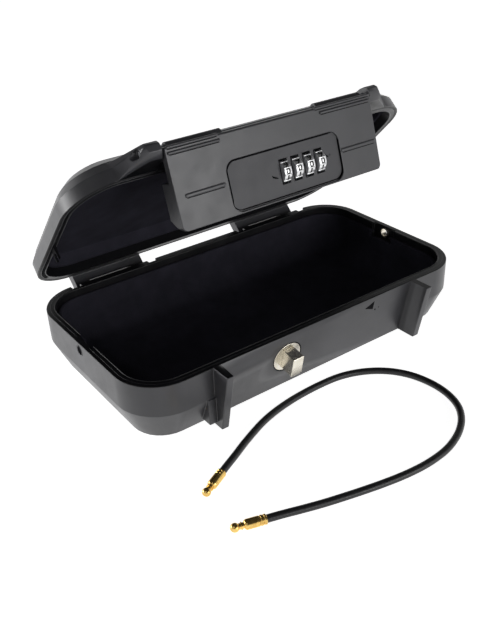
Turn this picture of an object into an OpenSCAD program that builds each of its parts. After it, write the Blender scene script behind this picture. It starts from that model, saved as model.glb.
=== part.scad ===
// Portable lock box: a moulded base and lid on two rear hinges, a lock flap that swings on the lid's
// front ears and shuts over a striker on the base, and a plug-in security cable that lies beside it.
// The origin is the middle of the base's underside. +X runs to the right, +Z up, and the front faces -Y.
// The lid stands open, and the flap hangs inwards from its pivot.

/* [Base] */
// Width of the base from end to end
body_w = 240; // [225:1:300]
// Depth of the base from front to back
body_d = 131; // [122:1:170]
// Height of the base up to its rim
base_h = 38; // [36:0.5:46]
// Radius of the upright corners
corner_r = 27; // [22:0.5:34]
// Height of the drawn-in lower band
lower_h = 19; // [14:0.5:24]
// How far the lower band is drawn in at the underside
lower_in = 8; // [5:0.5:10]
// Width of the rim, which is the wall at its top
rim_w = 5.7; // [5.2:0.1:8]
// Thickness of the floor
floor_t = 3.5; // [2.5:0.1:6]
// How far the front wall between the ribs slopes in at the underside
front_in = 8; // [6:0.5:9]
// Bare height of the inner wall above the liner
bare_h = 5; // [4:0.5:8]

/* [Ribs] */
// Thickness of a guide rib
rib_t = 4.5; // [3:0.1:6]
// How far a guide rib stands out from the front wall
rib_out = 13; // [10:0.5:16]
// Running gap between the flap's side and a rib
rib_gap = 1.8; // [0.8:0.1:3]
// Width of the small web at the foot of a rib
web_w = 5; // [3:0.5:8]

/* [Seal and liners] */
// Distance of the seal groove from the lid's outer edge
groove_in = 0.7; // [0.6:0.1:0.9]
// Width of the seal groove
groove_w = 1.4; // [1:0.1:1.6]
// Depth of the seal groove
groove_d = 1.2; // [0.8:0.1:1.8]
// Thickness of the foam liners
liner_t = 2.5; // [1.5:0.1:4]

/* [Hinges] */
// How far the hinge axis lies behind the base
hinge_back = 4.5; // [4.4:0.1:7]
// How far the hinge axis lies below the rim
hinge_drop = 9.5; // [8:0.5:12]
// Radius of a hinge knuckle
knuckle_r = 4; // [3:0.1:4.2]
// Radius of a hinge pin
pin_r = 1.5; // [1:0.1:2]
// Distance from the middle of the box to the middle of a hinge
hinge_x = 63.5; // [50:0.5:80]
// Full width of a hinge
hinge_w = 49; // [40:0.5:56]
// Width of the base's knuckle
knuckle_w = 29; // [20:0.5:32]

/* [Lid] */
// Angle at which the lid stands open
lid_open = 46; // [0:1:90]
// Gap between the two rims when the lid is shut
lid_gap = 0.45; // [0.4:0.05:0.8]
// Bare ledge of the base's rim outside the lid
lid_ledge = 2.3; // [1:0.1:3]
// Bare ledge of the base's rim behind the lid
lid_rear = 3.2; // [2:0.1:3.4]
// Corner radius of the lid
lid_r = 29; // [24:0.5:34]
// Height of the lid's upright side
side_h = 7.5; // [6:0.5:10]
// Height of the lid from its rim to its shoulder
shoulder_h = 13; // [12:0.5:14]
// How far the shoulder is drawn in
shoulder_in = 4.5; // [3:0.5:5.5]
// Height of the lid from its rim to its top
lid_h = 18; // [17:0.5:24]
// How far the top is drawn in
top_in = 11; // [9:0.5:13]
// Thickness of the lid's top
lid_t = 3.5; // [2.5:0.1:5]
// How far the fascia in front of the lid reaches
fascia_out = 3.5; // [2:0.1:3.6]

/* [Flap] */
// Height of the flap's pivot above the rim
pivot_up = 6.5; // [5.5:0.5:7]
// Depth of the pivot behind the flap's face
pivot_in = 6.4; // [6:0.1:6.6]
// How far the flap hangs inwards from its shut position
flap_in = 17; // [0:1:20]
// Thickness of the flap's lock body without its back plate
flap_t = 11.4; // [11.2:0.1:13]
// Thickness of the back plate
plate_t = 1; // [0.8:0.1:1.4]
// Gap between the shut flap and the front wall
wall_gap = 0.6; // [0.4:0.1:1]
// Height of the flap's lower edge above the underside
flap_lift = 0.8; // [0.5:0.1:2]
// Thickness of the leaf above the lock body
leaf_t = 4.5; // [4:0.1:5]
// Distance from the pivot down to the lock body
leaf_l = 18; // [17.5:0.1:18.4]
// Radius of the flap's pivot barrels
barrel_r = 2.7; // [2.5:0.1:3.2]
// Length of a pivot barrel
barrel_l = 34; // [20:0.5:40]
// Distance from the flap's end to a barrel
barrel_end = 3.5; // [1.5:0.5:12]
// Radius of the pivot pin
pivot_r = 1.2; // [1:0.1:1.4]

/* [Dial recess] */
// Left end of the recess
recess_x0 = -37; // [-42:0.5:-33]
// Right end of the recess
recess_x1 = 41; // [36:0.5:46]
// Distance from the pivot down to the recess
recess_top = 13.6; // [12:0.2:15]
// Height of the recess
recess_h = 28; // [24:0.2:28.5]
// Depth of the recess
recess_t = 1.2; // [0.8:0.1:1.3]
// Corner radius of the recess
recess_r = 6; // [3:0.5:8]

/* [Number wheels] */
// Count of number wheels
wheel_n = 4; // [4]
// Radius of a number wheel
wheel_r = 6.7; // [6.2:0.1:6.8]
// Width of a number wheel
wheel_w = 5; // [4:0.1:5.6]
// Distance between wheel centres
wheel_pitch = 8.3; // [8:0.1:9]
// Place of the leftmost wheel
wheel_x0 = 0.7; // [0.6:0.1:3]
// How far the wheels' axis lies below the middle of the recess
wheel_drop = 0.8; // [0:0.1:1]
// How far a wheel stands out of the recess
wheel_out = 3.75; // [3.6:0.05:4.2]
// Radius of the wheels' spindle
spindle_r = 1.5; // [1:0.1:1.8]
// Radius of a wheel's gate cam
cam_r = 3; // [2.6:0.1:3.6]

/* [Striker] */
// Place of the striker across the front
striker_x = -23.5; // [-26:0.5:-21]
// Height of the striker's middle
striker_z = 21; // [20:0.5:22]
// Width of the striker's post
post_w = 7.4; // [6:0.1:8]
// Height of the striker's post
post_h = 13; // [11:0.5:14]
// How far the post stands out of the front wall
post_l = 9.6; // [8.8:0.1:9.8]
// Radius of the round striker plate
striker_r = 9.5; // [8:0.5:10.5]
// Travel of the latch slide
latch_travel = 3; // [2:0.5:3.2]

/* [Cable sockets] */
// Radius of a socket
socket_r = 2.75; // [2.7:0.05:3]
// Depth of a socket's axis below the rim
socket_drop = 4.7; // [4.6:0.1:6]
// Place of the sockets from front to back
socket_y = 2; // [-10:1:10]

/* [Cable] */
// Radius of the cable
cable_r = 2; // [1.5:0.1:2.2]
// Radius of a ferrule's sleeve
ferrule_r = 2.6; // [2.3:0.05:2.65]
// Length of a ferrule's sleeve
ferrule_l = 11; // [8:0.5:14]
// Radius of a ferrule's neck
neck_r = 1.5; // [1:0.1:1.8]
// Length of a ferrule's neck
neck_l = 2.6; // [2:0.1:4]
// Radius of a ferrule's round tip
tip_r = 2.3; // [1.8:0.1:2.5]

/* [Hidden] */
$fn = 64;
hull_fn = 32;
eps = 0.01;
fit = 0.05;
clear = 0.3;

shell_black = "#55565a";
liner_black = "#17171b";
rubber_black = "#202022";
nickel = "#dcd8ca";
steel = "#b4b6b8";
wheel_silver = "#d9dadc";
brass_gold = "#d9b56a";
cable_black = "#2c2c2c";

// Rim, cavity and front wall
half_w = body_w / 2;
half_d = body_d / 2;
inner_r = corner_r - rim_w;
wall_a = atan(front_in / base_h);
front_wall_t = 3;
cavity_z = floor_t;
cavity_in = lower_in * (lower_h - floor_t) / lower_h;
slab = 0.2;
liner_top = base_h - bare_h;
liner_low_in = rim_w + liner_t + cavity_in * (lower_h - cavity_z - liner_t) / (lower_h - cavity_z);
seal_up = 0.1;
function wall_y(z) = -half_d + front_in * (base_h - z) / base_h;

// Hinges
hinge_y = half_d + hinge_back;
hinge_z = base_h - hinge_drop;
arm_gap = 0.3;
arm_w = (hinge_w - knuckle_w) / 2 - arm_gap;
hinge_web_gap = 1.6;
hinge_web_h = 9;
hinge_web_out = 3;
hinge_notch_w = 6;
hinge_notch_y = 3;
hinge_notch_z = 4;
hinge_foot = 2;

// Lid
lid_z = base_h + lid_gap;
lid_w = body_w - 2 * lid_ledge;
lid_front = -half_d + lid_ledge;
lid_back = half_d - lid_rear;
lid_d = lid_back - lid_front;
lid_mid = (lid_front + lid_back) / 2;
side_in = 0.3;
crown_z = lid_z + lid_h;
shoulder_z = lid_z + shoulder_h;
lid_wall = 5.6;
lid_cavity_z = crown_z - lid_t;
lid_cavity_in = lid_wall + 4.9;
lid_liner_z = lid_z + bare_h;

// Flap pivot, in the frame of the shut lid
flap_half = 69.5;
barrel_x1 = flap_half - barrel_end;
barrel_x0 = barrel_x1 - barrel_l;
pivot_z = base_h + pivot_up;
back_depth = flap_t - pivot_in;
plate_back = back_depth + plate_t;
wall_depth = plate_back + wall_gap;
pivot_y = wall_y(pivot_z) - wall_depth / cos(wall_a);
flap_l = (pivot_z - pivot_in * sin(wall_a) - flap_lift) / cos(wall_a);
leaf_top = 0.4;
leaf_round = 1.2;
flap_corner = 3;
bevel_y = 8.4;
bevel_z = 6.5;

// Ribs stand outside the flap's sides
rib_x = flap_half + rib_gap;
web_out = 1;
web_z = 3;

// Ears that carry the pivot
side_gap = 0.8;
ear_x = flap_half + side_gap;
ear_w = 7.7;
ear_flank = 14;
ear_root = 5;
pocket_r = 2.6;
pin_end = ear_x + ear_w + 2.5;
fascia_z0 = lid_z + 3;
fascia_z1 = lid_z + 9;

// Recess and wheels, in the flap's own frame
front_t = 1.4;
recess_y = -pivot_in + recess_t;
inner_y = recess_y + front_t;
wheel_z = -(recess_top + recess_h / 2 + wheel_drop);
wheel_y = recess_y - wheel_out + wheel_r;
wheel_end = wheel_x0 + (wheel_n - 1) * wheel_pitch;
window_gap = 0.35;
window_half = sqrt(pow(wheel_r, 2) - pow(inner_y - wheel_y, 2)) + window_gap;
bay_margin = 4.5;
bay_x0 = wheel_x0 - bay_margin;
bay_x1 = wheel_end + bay_margin;
bay_half = wheel_r + 0.9;
bay_wall = 2;
bump_n = 10;
bump_r = 0.55;
bump_up = 0.25;
cam_gate = 1.2;
cam_wall = 0.6;
ridge_up = 0.6;
ridge_h = 1.8;
ridge_left = [-flap_half + 6.5, recess_x0 - 3, -25.6];
ridge_right = [recess_x1 + 1.5, flap_half - 2.5, -26.4];
mark_r = 0.7;
mark_places = [[-6, -30.2], [33.5, -26.9]];

// Hollow pockets of the lock body and the bosses in them
pocket_wall = 2;
pocket_z0 = leaf_l + 2;
pocket_in_x = 36;
left_pocket_x = striker_x - 10.5;
boss_r = 2.4;

// Latch and striker
latch_s = (pivot_z + wall_depth * sin(wall_a) - striker_z) / cos(wall_a);
latch_z = -latch_s;
channel_side = 1.3;
channel_half = post_w / 2 + channel_side;
channel_x0 = striker_x - channel_half;
channel_x1 = striker_x + channel_half;
channel_top = -(latch_s - post_h / 2 - 2);
seat_out = 5.4;
seat_half_y = 2.8;
seat_half_z = 3.4;
seat_depth = latch_travel + 0.2;
latch_y = wall_depth - seat_out;
latch_t = 4.4;
latch_h = 5;
latch_rest = 0.7;
latch_x0 = striker_x + post_w / 2 + latch_rest;
latch_tip_l = 4.1;
latch_l = 8;
latch_x1 = latch_x0 + latch_l;
latch_back = back_depth - 0.4;
latch_front = latch_y - latch_t / 2;
stem_r = 1;
stem_l = 4;
guide_x1 = bay_x0 - bay_wall;
spring_r = 1.75;
spring_wire = 0.35;
spring_turns = 5;
spring_steps = 8;
spring_sides = 6;
plate_seat = 1;
post_stem_r = 2;
nut_r = 4;
nut_t = 2;

// Reset dial in the back plate
reset_x = 50;
reset_z = -28;
reset_r = 3.4;
reset_t = 0.8;
reset_pin_r = 1;
reset_pin_l = 5;
reset_boss_r = 2.6;
reset_slot = 1;

// Detent spring under the wheels
detent_t = 0.4;
detent_gap = 0.35;

// Screws of the back plate
screw_r = 1;
screw_head_r = 1.9;
screw_head_t = 0.8;
screw_l = 6;
screw_in = 6.5;
screw_x = flap_half - screw_in;
screw_places = [[-screw_x, -23], [-screw_x, -32.5], [screw_x, -23], [screw_x, -32.5]];

// Sockets, eyelets and the lid's keepers
socket_z = base_h - socket_drop;
notch_half = 10;
notch_depth = 2.1;
notch_low = 4.4;
socket_face = half_w - rim_w + notch_depth;
eyelet_wall = 0.4;
flange_r = 3.7;
flange_t = 0.8;
keeper_t = 1.3;
keeper_half = 3;
keeper_x = half_w - rim_w - 0.6;
keeper_slot = neck_r + 0.3;

// Route of the cable's middle line over the table, from ferrule to ferrule
end_z = ferrule_r + 0.05;
lie_z = cable_r + 0.05;
cable_route = [[-97, -100.5, end_z], [-92, -98, end_z], [-84.5, -94.2, end_z - 0.3], [-72.5, -88, lie_z],
    [-58, -81.7, lie_z], [-47, -78.3, lie_z], [-35, -76, lie_z], [-23, -74.8, lie_z], [-10, -74.5, lie_z],
    [3, -75.4, lie_z], [14, -78.5, lie_z], [24, -84, lie_z], [32, -91.5, lie_z], [37.4, -100.5, lie_z],
    [40.2, -110.5, lie_z], [40.8, -120.5, lie_z], [39.2, -130, lie_z], [35.3, -138.7, lie_z],
    [29, -146, lie_z], [21, -151.7, lie_z], [12.8, -155.5, lie_z], [4, -158.1, lie_z], [-5.5, -159.3, lie_z],
    [-16, -159.4, lie_z], [-27.8, -158.2, lie_z], [-39.4, -156.1, lie_z], [-50.8, -153.5, lie_z],
    [-61, -150.9, lie_z], [-71.5, -148, lie_z], [-82, -144.9, end_z - 0.3], [-91, -142.1, end_z],
    [-99, -139.6, end_z]];
cable_steps = 2;
cable_sides = 10;
route_end = len(cable_route) - 1;
grip = 1.5;

// Tube swept along a list of points: one ring of corners at each point, square to the path
function unit(v) = v / norm(v);
function tangent(p, i) = unit(p[min(i + 1, len(p) - 1)] - p[max(i - 1, 0)]);
function ring(c, t, up, r, n) =
    let(a = unit(cross(up, t)), b = cross(t, a))
    [for (k = [0:n - 1]) c + r * (cos(360 * k / n) * a + sin(360 * k / n) * b)];
module tube(p, up, r, n) {
    m = len(p);
    corners = [for (i = [0:m - 1]) each ring(p[i], tangent(p, i), up, r, n)];
    walls = [for (i = [0:m - 2], k = [0:n - 1])
        each [[i * n + k, i * n + (k + 1) % n, (i + 1) * n + (k + 1) % n],
            [i * n + k, (i + 1) * n + (k + 1) % n, (i + 1) * n + k]]];
    start = [for (k = [1:n - 2]) [0, k + 1, k]];
    finish = [for (k = [1:n - 2]) [(m - 1) * n, (m - 1) * n + k, (m - 1) * n + k + 1]];
    polyhedron(points = corners, faces = concat(start, walls, finish), convexity = 6);
}

// Smooth curve through the route's points, with a few steps between each pair
function blend(a, b, c, d, t) =
    0.5 * (2 * b + (c - a) * t + (2 * a - 5 * b + 4 * c - d) * t * t + (3 * b - a - 3 * c + d) * t * t * t);
function smooth(p, steps) = let(m = len(p))
    concat([for (i = [0:m - 2], k = [0:steps - 1])
        blend(p[max(i - 1, 0)], p[i], p[i + 1], p[min(i + 2, m - 1)], k / steps)], [p[m - 1]]);

// Rectangle with round corners, centred
module round_rect(w, d, r) {
    square([w - 2 * r, d], center = true);
    square([w, d - 2 * r], center = true);
    for (sx = [-1, 1], sy = [-1, 1]) {
        translate([sx * (w / 2 - r), sy * (d / 2 - r)]) circle(r);
    }
}

// Outline of the box drawn in by a distance, as a slab
module box_slab(inset, h, z) {
    translate([0, 0, z]) linear_extrude(h) round_rect(body_w - 2 * inset, body_d - 2 * inset, corner_r - inset);
}

// The same outline as one side of a tapering band
module hull_slab(inset, z) {
    translate([0, 0, z]) linear_extrude(slab)
        round_rect(body_w - 2 * inset, body_d - 2 * inset, corner_r - inset, $fn = hull_fn);
}

// Tapering band from one height to another, with the inset at each
module band(in0, z0, in1, z1) {
    hull() {
        hull_slab(in0, z0);
        hull_slab(in1, z1 - slab);
    }
}

// Prism along X between two ends, from a profile of [y, z] points
module along_x(x0, x1, profile) {
    translate([x0, 0, 0]) rotate([90, 0, 90]) linear_extrude(x1 - x0) polygon(profile);
}

// Prism along Y between two depths, from a flat shape in X and Z
module along_y(y0, y1) {
    translate([0, y1, 0]) rotate([90, 0, 0]) linear_extrude(y1 - y0) children();
}

// Rod along X between two ends at a place [y, z]
module rod_x(x0, x1, r, y, z) {
    translate([x0, y, z]) rotate([0, 90, 0]) cylinder(h = x1 - x0, r = r);
}

// Rod along Y between two depths at a place [x, z]
module rod_y(y0, y1, r, x, z) {
    translate([x, y1, z]) rotate([90, 0, 0]) cylinder(h = y1 - y0, r = r);
}

// Block between two corners
module block(low, high) {
    translate(low) cube(high - low);
}

// Carries the shut lid to its open place
module at_lid() {
    translate([0, hinge_y, hinge_z]) rotate([-lid_open, 0, 0]) translate([0, -hinge_y, -hinge_z]) children();
}

// Carries the flap's own frame, with its pivot at the origin, to its hanging place
module at_flap() {
    at_lid() translate([0, pivot_y, pivot_z]) rotate([wall_a + flap_in, 0, 0]) children();
}

// Carries a frame whose -Y is square to the front wall to the striker's place
module at_striker() {
    translate([striker_x, wall_y(striker_z), striker_z]) rotate([wall_a, 0, 0]) children();
}

// Outline of the lid drawn in by a distance, as a slab
module lid_slab(inset, h, z) {
    translate([0, lid_mid, z]) linear_extrude(h) round_rect(lid_w - 2 * inset, lid_d - 2 * inset, lid_r - inset);
}

// Tapering band of the lid, with the inset at each height
module lid_band(in0, z0, in1, z1) {
    hull() {
        lid_slab(in0, slab, z0, $fn = hull_fn);
        lid_slab(in1, slab, z1 - slab, $fn = hull_fn);
    }
}

module base_shell() color(shell_black) difference() {
    union() {
        difference() {
            union() {
                box_slab(0, base_h - lower_h, lower_h);
                band(lower_in, 0, 0, lower_h);
                guide_ribs();
            }
            cavity();
        }
        front_wall();
        for (s = [-1, 1]) base_hinge(s);
    }
    front_cut();
    for (s = [-1, 1]) {
        socket_cut(s);
        hinge_notches(s);
        rod_x(s * hinge_x - hinge_w / 2, s * hinge_x + hinge_w / 2, pin_r + fit, hinge_y, hinge_z);
    }
    at_striker() {
        rod_y(-5, plate_seat, striker_r + fit, 0, 0);
        rod_y(0, front_wall_t + 5, post_stem_r + fit, 0, 0);
    }
}

// The inside of the base, with its open top
module cavity() {
    box_slab(rim_w, base_h - lower_h + 1, lower_h);
    band(rim_w + cavity_in, cavity_z, rim_w, lower_h);
}

// The sloping front wall between the ribs
module front_wall() {
    t = front_wall_t / cos(wall_a);
    along_x(-rib_x, rib_x, [[-half_d, base_h], [-half_d + front_in, 0],
        [-half_d + front_in + t, 0], [-half_d + t, base_h]]);
}

// The wedge that is taken away in front of the sloping wall
module front_cut() {
    far = rib_out + 10;
    along_x(-rib_x, rib_x, [[-half_d, base_h], [-half_d + front_in, 0], [-half_d + front_in, -1],
        [-half_d - far, -1], [-half_d - far, base_h]]);
}

// The two guide ribs with the small web at each foot
module guide_ribs() {
    y0 = -half_d + lower_in + 2;
    for (s = [-1, 1]) scale([s, 1, 1]) {
        along_x(rib_x, rib_x + rib_t, [[-half_d + rim_w / 2, base_h], [-half_d - rib_out, base_h],
            [-half_d - rib_out + front_in, 0], [y0, 0], [y0, lower_h]]);
        block([rib_x + rib_t, -half_d - web_out, web_z], [rib_x + rib_t + web_w, y0, lower_h + 0.3]);
    }
}

// The base's knuckle between the lid's two arms, with its foot on the rear wall
module base_hinge(s) {
    x0 = s * hinge_x - knuckle_w / 2;
    x1 = s * hinge_x + knuckle_w / 2;
    rod_x(x0, x1, knuckle_r, hinge_y, hinge_z);
    block([x0, half_d - rim_w / 2, hinge_z - knuckle_r], [x1, hinge_y, hinge_z + hinge_foot]);
}

// The two small notches in the rim beside a hinge
module hinge_notches(s) {
    x0 = s * hinge_x - hinge_w / 2;
    x1 = s * hinge_x + hinge_w / 2;
    for (x = [x0 - hinge_notch_w, x1]) {
        block([x, half_d - hinge_notch_y, base_h - hinge_notch_z], [x + hinge_notch_w, half_d + 1, base_h + 1]);
    }
}

// The notch in the rim and the hole for the eyelet through the end wall
module socket_cut(s) {
    scale([s, 1, 1]) {
        block([half_w - rim_w - 1, socket_y - notch_half, socket_z - notch_low],
            [socket_face, socket_y + notch_half, base_h + 1]);
        rod_x(socket_face - 1, half_w + 1, socket_r + eyelet_wall + fit, socket_y, socket_z);
    }
}

module base_liner() color(liner_black) difference() {
    union() {
        box_slab(rim_w, liner_top - lower_h, lower_h);
        band(rim_w + cavity_in, cavity_z, rim_w, lower_h);
    }
    box_slab(rim_w + liner_t, liner_top, lower_h);
    band(liner_low_in, cavity_z + liner_t, rim_w + liner_t, lower_h);
    front_wall();
    for (s = [-1, 1]) scale([s, 1, 1]) {
        block([half_w - rim_w - liner_t - 1, socket_y - notch_half, socket_z - notch_low], [half_w, socket_y + notch_half, base_h]);
    }
    at_striker() rod_y(front_wall_t - 1, front_wall_t + 8, nut_r + clear, 0, 0);
}

module rim_seal() color(rubber_black) at_lid() seal_ring(lid_z - seal_up, lid_z + groove_d);

// Ring that runs round the lid's rim between two heights
module seal_ring(z0, z1) {
    difference() {
        lid_slab(groove_in, z1 - z0, z0);
        lid_slab(groove_in + groove_w, z1 - z0 + 2, z0 - 1);
    }
}

module striker_plate() color(nickel) at_striker() difference() {
    rod_y(0, plate_seat, striker_r, 0, 0);
    rod_y(-1, plate_seat + 1, post_stem_r + fit, 0, 0);
}

module striker_post() color(nickel) at_striker() difference() {
    union() {
        block([-post_w / 2, -post_l, -post_h / 2], [post_w / 2, 0, post_h / 2]);
        rod_y(0, front_wall_t + nut_t + 0.4, post_stem_r, 0, 0);
    }
    block([post_w / 2 - seat_depth, -seat_out - seat_half_y, -seat_half_z],
        [post_w / 2 + 1, -seat_out + seat_half_y, seat_half_z]);
}

module striker_nut() color(steel) at_striker() difference() {
    rod_y(front_wall_t, front_wall_t + nut_t, nut_r, 0, 0);
    rod_y(front_wall_t - 1, front_wall_t + nut_t + 1, post_stem_r + fit, 0, 0);
}

module cable_eyelet_left() color(nickel) cable_eyelet(-1);
module cable_eyelet_right() color(nickel) cable_eyelet(1);
module cable_eyelet(s) scale([s, 1, 1]) difference() {
    union() {
        rod_x(socket_face, half_w, socket_r + eyelet_wall, socket_y, socket_z);
        rod_x(socket_face - flange_t, socket_face, flange_r, socket_y, socket_z);
    }
    rod_x(socket_face - 2, half_w + 1, socket_r, socket_y, socket_z);
}

module hinge_pin_left() color(steel) hinge_pin(-1);
module hinge_pin_right() color(steel) hinge_pin(1);
module hinge_pin(s) {
    rod_x(s * hinge_x - hinge_w / 2, s * hinge_x + hinge_w / 2, pin_r, hinge_y, hinge_z);
}

module lid_shell() color(shell_black) at_lid() difference() {
    union() {
        difference() {
            union() {
                lid_band(0, lid_z, side_in, lid_z + side_h);
                lid_band(side_in, lid_z + side_h, shoulder_in, shoulder_z);
                lid_band(shoulder_in, shoulder_z, top_in, crown_z);
                for (s = [-1, 1]) ear(s);
                fascia();
            }
            lid_cavity();
        }
        for (s = [-1, 1]) {
            lid_hinge_arms(s);
            keeper(s);
        }
    }
    seal_ring(lid_z - 1, lid_z + groove_d);
    rod_x(-pin_end, pin_end, pivot_r + fit, pivot_y, pivot_z);
    for (s = [-1, 1]) {
        rod_x(s * hinge_x - hinge_w, s * hinge_x + hinge_w, pin_r + fit, hinge_y, hinge_z);
        scale([s, 1, 1]) rod_x(pin_end, pin_end + ear_flank, pocket_r, pivot_y, pivot_z);
    }
}

// The inside of the lid, with its open underside
module lid_cavity() {
    lid_slab(lid_wall, 1 + slab, lid_z - 1);
    lid_band(lid_wall, lid_z, lid_cavity_in, lid_cavity_z);
}

// Outline of an ear from the side, as [y, z] points
function ear_side() = [[lid_front + ear_root, lid_z], [pivot_y - 1.5, lid_z], [pivot_y - 5.2, pivot_z - 3.2],
    [pivot_y - 5.8, pivot_z + 0.4], [pivot_y - 4.2, pivot_z + 2.8], [pivot_y - 0.4, pivot_z + 4.2],
    [lid_front + ear_root, shoulder_z - 0.4]];

// An ear beside the flap, with the flank that runs back to the lid's front
module ear(s) {
    flank_x = ear_x + ear_w;
    scale([s, 1, 1]) {
        along_x(ear_x, flank_x, ear_side());
        hull() {
            along_x(flank_x, flank_x + slab, ear_side());
            along_x(flank_x + ear_flank - slab, flank_x + ear_flank, [[lid_front + ear_root, lid_z],
                [lid_front + 0.5, lid_z], [lid_front + 1, lid_z + side_h],
                [lid_front + ear_root, shoulder_z - 0.8]]);
        }
    }
}

// The band between the ears, behind the flap's barrels
module fascia() {
    y = -half_d - fascia_out;
    along_x(-ear_x, ear_x, [[lid_front + 3, fascia_z0], [y, fascia_z0], [y, fascia_z1 - 2],
        [y + 2, fascia_z1], [lid_front + 4, fascia_z1]]);
}

// The web behind the lid and its two arms down to the hinge axis
module lid_hinge_arms(s) {
    x0 = s * hinge_x - hinge_w / 2;
    x1 = s * hinge_x + hinge_w / 2;
    z0 = lid_z + 1;
    y0 = hinge_y - knuckle_r + 0.3;
    block([x0, lid_back - lid_wall / 2, z0], [x1, hinge_y + hinge_web_out, z0 + hinge_web_h]);
    block([x0, y0, hinge_z + knuckle_r + hinge_web_gap], [x1, hinge_y + hinge_web_out, z0 + 1]);
    for (a = [x0, x1 - arm_w]) {
        rod_x(a, a + arm_w, knuckle_r, hinge_y, hinge_z);
        block([a, y0, hinge_z], [a + arm_w, hinge_y + hinge_web_out, z0 + 2]);
    }
}

// The fork that drops over a ferrule's neck
module keeper(s) {
    scale([s, 1, 1]) difference() {
        block([keeper_x, socket_y - keeper_half, socket_z - neck_r - 1.3],
            [keeper_x + keeper_t, socket_y + keeper_half, lid_z + 2]);
        rod_x(keeper_x - 1, keeper_x + keeper_t + 1, keeper_slot, socket_y, socket_z);
        block([keeper_x - 1, socket_y - keeper_slot, socket_z - 10],
            [keeper_x + keeper_t + 1, socket_y + keeper_slot, socket_z]);
    }
}

module lid_liner() color(liner_black) at_lid() intersection() {
    difference() {
        lid_band(lid_wall, lid_z, lid_cavity_in, lid_cavity_z);
        lid_band(lid_wall + liner_t, lid_z - slab, lid_cavity_in + liner_t, lid_cavity_z - liner_t);
    }
    block([-half_w, -half_d, lid_liner_z], [half_w, half_d, crown_z]);
}

module flap_pivot_pin() color(steel) at_lid() {
    rod_x(-pin_end, pin_end, pivot_r, pivot_y, pivot_z);
}

// Flat shape with its two lower corners round
module low_round(half, z0, z1, r) {
    translate([-half, z0 + r]) square([2 * half, z1 - z0 - r]);
    translate([-half + r, z0]) square([2 * (half - r), z1 - z0]);
    for (s = [-1, 1]) translate([s * (half - r), z0 + r]) circle(r);
}

module flap_housing() color(shell_black) at_flap() difference() {
    union() {
        along_y(-pivot_in, back_depth) low_round(flap_half, -flap_l, -leaf_l, flap_corner);
        block([-flap_half, -pivot_in, -leaf_l - 1], [flap_half, -pivot_in + leaf_t, leaf_top - leaf_round]);
        block([-flap_half, -pivot_in + leaf_round, -leaf_l], [flap_half, -pivot_in + leaf_t, leaf_top]);
        rod_x(-flap_half, flap_half, leaf_round, -pivot_in + leaf_round, leaf_top - leaf_round);
        for (s = [-1, 1]) scale([s, 1, 1]) rod_x(barrel_x0, barrel_x1, barrel_r, 0, 0);
        face_ridge(ridge_left);
        face_ridge(ridge_right);
    }
    along_y(-pivot_in - 2, recess_y) translate([(recess_x0 + recess_x1) / 2, wheel_z])
        round_rect(recess_x1 - recess_x0, recess_h, recess_r);
    rod_x(-flap_half - 1, flap_half + 1, pivot_r + fit, 0, 0);
    for (i = [0:wheel_n - 1]) {
        x = wheel_x0 + i * wheel_pitch;
        block([x - wheel_w / 2 - clear, -pivot_in - 1, wheel_z - window_half],
            [x + wheel_w / 2 + clear, inner_y + 1, wheel_z + window_half]);
    }
    block([bay_x0, inner_y, wheel_z - bay_half], [bay_x1, back_depth + 1, wheel_z + bay_half]);
    rod_x(guide_x1 - 1, bay_x1 + bay_wall, spindle_r + fit, wheel_y, wheel_z);
    block([channel_x0, inner_y, -flap_l - 1], [channel_x1, back_depth + 1, channel_top]);
    block([channel_x1 - 1, latch_front - clear, latch_z - latch_h / 2 - clear],
        [guide_x1, back_depth + 1, latch_z + latch_h / 2 + clear]);
    lock_pockets();
    for (p = screw_places) rod_y(back_depth - screw_l, back_depth + 1, screw_r + fit, p[0], p[1]);
    along_x(-flap_half - 1, flap_half + 1, [[back_depth - bevel_y, -flap_l], [plate_back, -flap_l + bevel_z],
        [plate_back + 1, -flap_l + bevel_z], [plate_back + 1, -flap_l - 1], [back_depth - bevel_y, -flap_l - 1]]);
    for (p = mark_places) rod_y(recess_y - 1, recess_y + 0.4, mark_r, p[0], p[1]);
}

// Raised grip line on the flap's face, from [left end, right end, height]
module face_ridge(r) {
    block([r[0], -pivot_in - ridge_up, r[2] - ridge_h / 2], [r[1], -pivot_in + 1, r[2] + ridge_h / 2]);
}

// The hollows of the lock body, which the back plate covers
module lock_pockets() {
    y0 = -pivot_in + pocket_wall;
    z0 = -flap_l + bevel_z + pocket_wall;
    difference() {
        union() {
            block([-flap_half + pocket_wall, y0, z0], [left_pocket_x, back_depth + 1, -pocket_z0]);
            block([recess_x1 + 1, y0, z0], [flap_half - pocket_wall, back_depth + 1, -pocket_z0]);
        }
        for (p = screw_places) rod_y(y0 - 1, back_depth + 2, boss_r, p[0], p[1]);
        rod_y(y0 - 1, back_depth - reset_t - clear, reset_boss_r, reset_x, reset_z);
    }
    rod_y(back_depth - reset_pin_l - 1, back_depth, reset_pin_r + fit, reset_x, reset_z);
}

module flap_back_plate() color(steel) at_flap() difference() {
    along_y(back_depth, plate_back) low_round(flap_half - 1.5, -flap_l + bevel_z, -leaf_l - 0.5, flap_corner);
    block([channel_x0, back_depth - 1, -flap_l - 1], [channel_x1, plate_back + 1, channel_top]);
    rod_y(back_depth - 1, plate_back + 1, reset_r + clear, reset_x, reset_z);
    for (p = screw_places) {
        translate([p[0], plate_back - screw_head_t, p[1]]) rotate([-90, 0, 0])
            cylinder(h = screw_head_t, r1 = screw_r + fit, r2 = screw_head_r + fit);
        rod_y(back_depth - 1, plate_back, screw_r + fit, p[0], p[1]);
    }
}

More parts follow.
